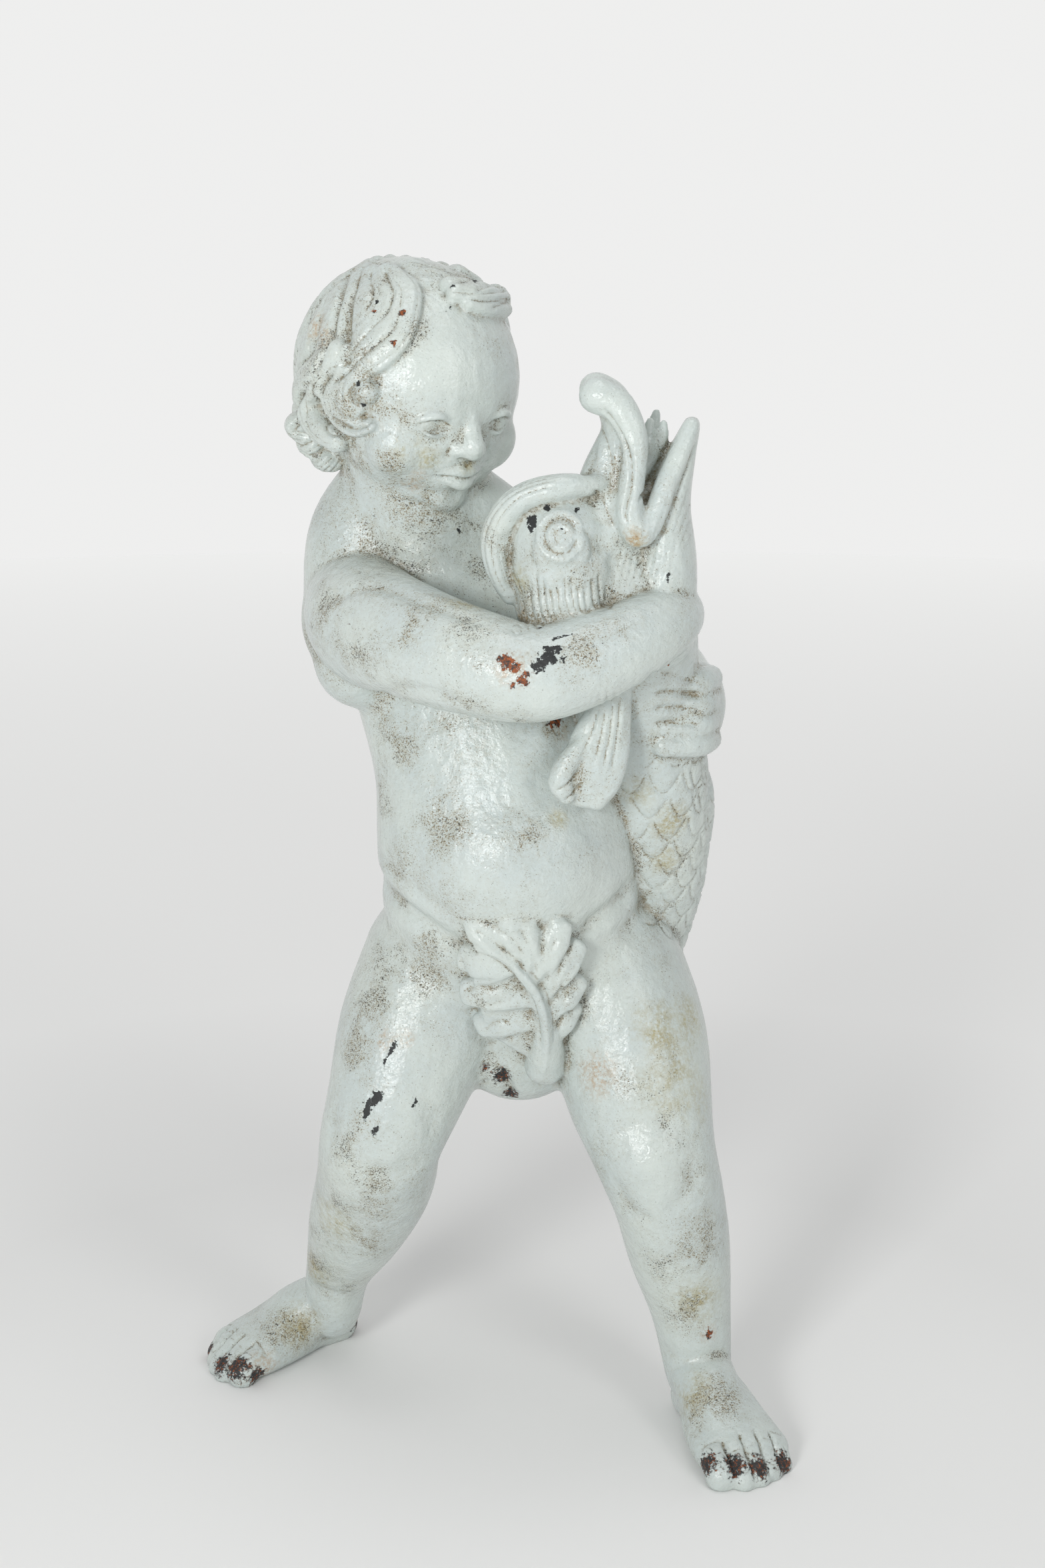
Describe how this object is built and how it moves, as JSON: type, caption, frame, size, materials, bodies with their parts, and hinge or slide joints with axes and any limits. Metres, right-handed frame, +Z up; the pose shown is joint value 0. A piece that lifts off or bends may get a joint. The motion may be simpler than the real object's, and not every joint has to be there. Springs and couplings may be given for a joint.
{
  "type": "boy and dolphin fountain statue",
  "caption": "Painted cast-iron garden fountain figure of a curly-haired toddler standing on bare feet and hugging an upright dolphin with an open, curled snout; a leaf covers the groin.",
  "frame": {"origin": "on the ground, in the middle of the figure's box", "axes": "+Z up, the boy faces -Y and his left side is towards +X"},
  "size_m": [0.4357, 0.2853, 0.8401],
  "materials": {
    "painted_iron": "gloss"
  },
  "bodies": {
    "root": {"boy_and_dolphin": "painted_iron"}
  },
  "joints": []
}
